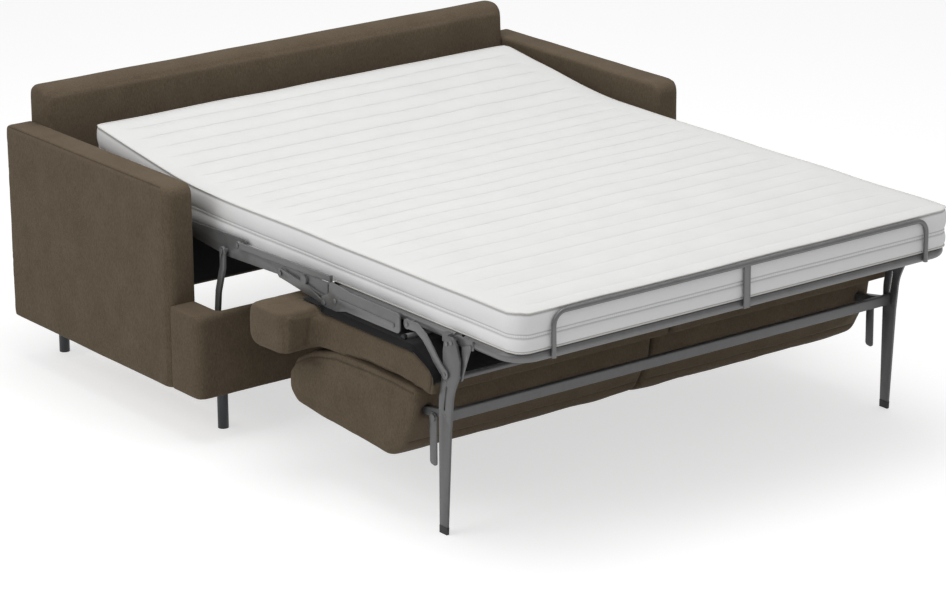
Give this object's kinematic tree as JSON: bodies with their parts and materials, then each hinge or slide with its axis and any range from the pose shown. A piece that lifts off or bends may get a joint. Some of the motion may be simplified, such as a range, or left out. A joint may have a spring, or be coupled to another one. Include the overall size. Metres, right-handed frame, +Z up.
{
  "type": "sofa bed",
  "caption": "Low sofa bed shown open: upholstered frame, turn-over steel fold with the seat and back cushions hanging beneath, and a thin quilted mattress on top.",
  "frame": {"origin": "centre of the bounding box's bottom face, on the floor, with the bed open", "axes": "+X across the bed to the right seen from its foot, +Y towards the sofa's back, +Z up. The bed opens towards -Y."},
  "size_m": [1.72, 2.067, 0.766],
  "materials": {
    "upholstery": "woven taupe cover over foam and board",
    "cushion_cover": "woven taupe cover over soft foam",
    "lining": "black felted lining over board",
    "grey_steel": "powder-coated, satin",
    "dark_steel": "powder-coated, satin",
    "zinc_steel": "zinc plated",
    "black_plastic": "moulded",
    "ticking": "white quilted knit",
    "timber": "sawn pine"
  },
  "bodies": {
    "root": {"left_arm": "upholstery", "right_arm": "upholstery", "sofa_back": "upholstery", "back_lining": "lining", "front_rail": "upholstery", "sills": "timber", "sofa_feet": "dark_steel", "foot_plates": "dark_steel", "side_plates": "grey_steel", "side_plate_bolts": "zinc_steel"},
    "front_struts": {"front_struts": "grey_steel"},
    "rear_struts": {"rear_struts": "grey_steel"},
    "base": {"base_rails": "grey_steel", "base_cross_tubes": "grey_steel", "base_slats": "grey_steel", "base_rivets": "zinc_steel", "mattress_base": "ticking", "mattress_head_fold": "ticking"},
    "control_bars": {"control_bars": "grey_steel"},
    "pillow": {"pillow_frame": "grey_steel", "pillow_slats": "grey_steel", "pillow_brackets": "grey_steel", "mattress_head": "ticking"},
    "fold": {"fold_links": "grey_steel", "fold_cross_tube": "grey_steel", "mattress_seat_fold": "ticking"},
    "seat": {"hinge_plates": "grey_steel", "hinge_spacers": "zinc_steel", "seat_frame": "grey_steel", "seat_slats": "grey_steel", "seat_brackets": "dark_steel", "seat_board": "lining", "seat_rod": "grey_steel", "rod_caps": "black_plastic", "seat_cushion_left": "cushion_cover", "seat_cushion_right": "cushion_cover", "legs": "dark_steel", "leg_cross_bar": "dark_steel", "leg_shoes": "black_plastic", "leg_stays": "grey_steel", "small_stays": "grey_steel", "leg_rivets": "zinc_steel", "mattress_seat": "ticking"},
    "foot": {"foot_tube": "grey_steel", "foot_slats": "grey_steel", "stop_rail": "grey_steel", "mattress_foot": "ticking"},
    "back_unit": {"back_frame": "dark_steel", "hanging_bars": "dark_steel", "back_cushion_left": "cushion_cover", "back_cushion_right": "cushion_cover"}
  },
  "joints": [
    {"name": "strut_swing", "type": "hinge", "parent": "root", "child": "front_struts", "pos_m": [0, 0.1985, 0.185], "axis": [-1, 0, 0], "range_deg": [0, 49.5]},
    {"name": "base_level", "type": "hinge", "parent": "front_struts", "child": "base", "pos_m": [0, 0.1745, 0.49], "axis": [-1, 0, 0], "range_deg": [-49.5, 0]},
    {"name": "rear_strut_swing", "type": "hinge", "parent": "root", "child": "rear_struts", "pos_m": [0, 0.5375, 0.215], "axis": [-1, 0, 0], "range_deg": [0, 49.5]},
    {"name": "bed_fold", "type": "hinge", "parent": "base", "child": "fold", "pos_m": [0, -0.0915, 0.497], "axis": [-1, 0, 0], "range_deg": [0, 45], "deforming": ["mattress_seat_fold"]},
    {"name": "seat_turn", "type": "hinge", "parent": "fold", "child": "seat", "pos_m": [0, -0.2915, 0.472], "axis": [-1, 0, 0], "range_deg": [0, 45]},
    {"name": "foot_fold", "type": "hinge", "parent": "seat", "child": "foot", "pos_m": [0, -0.8015, 0.502], "axis": [-1, 0, 0], "range_deg": [-45, 0]},
    {"name": "back_fold", "type": "hinge", "parent": "seat", "child": "back_unit", "pos_m": [0, -0.7715, 0.305], "axis": [-1, 0, 0], "range_deg": [0, 45]},
    {"name": "pillow_fold", "type": "hinge", "parent": "base", "child": "pillow", "pos_m": [0, 0.55408, 0.53052], "axis": [-1, 0, 0], "range_deg": [-81, 0], "deforming": ["mattress_head_fold"]},
    {"name": "control_swing", "type": "hinge", "parent": "base", "child": "control_bars", "pos_m": [0, 0.1015, 0.523], "axis": [-1, 0, 0], "range_deg": [0, 27.9]}
  ],
  "couplings": [
    {"joint": "strut_swing", "follows": "bed_fold", "ratio": 1.1},
    {"joint": "base_level", "follows": "bed_fold", "ratio": -1.1},
    {"joint": "rear_strut_swing", "follows": "bed_fold", "ratio": 1.1},
    {"joint": "seat_turn", "follows": "bed_fold", "ratio": 1},
    {"joint": "foot_fold", "follows": "bed_fold", "ratio": -1},
    {"joint": "back_fold", "follows": "bed_fold", "ratio": 1},
    {"joint": "pillow_fold", "follows": "bed_fold", "ratio": -1.8},
    {"joint": "control_swing", "follows": "bed_fold", "ratio": 0.62}
  ]
}
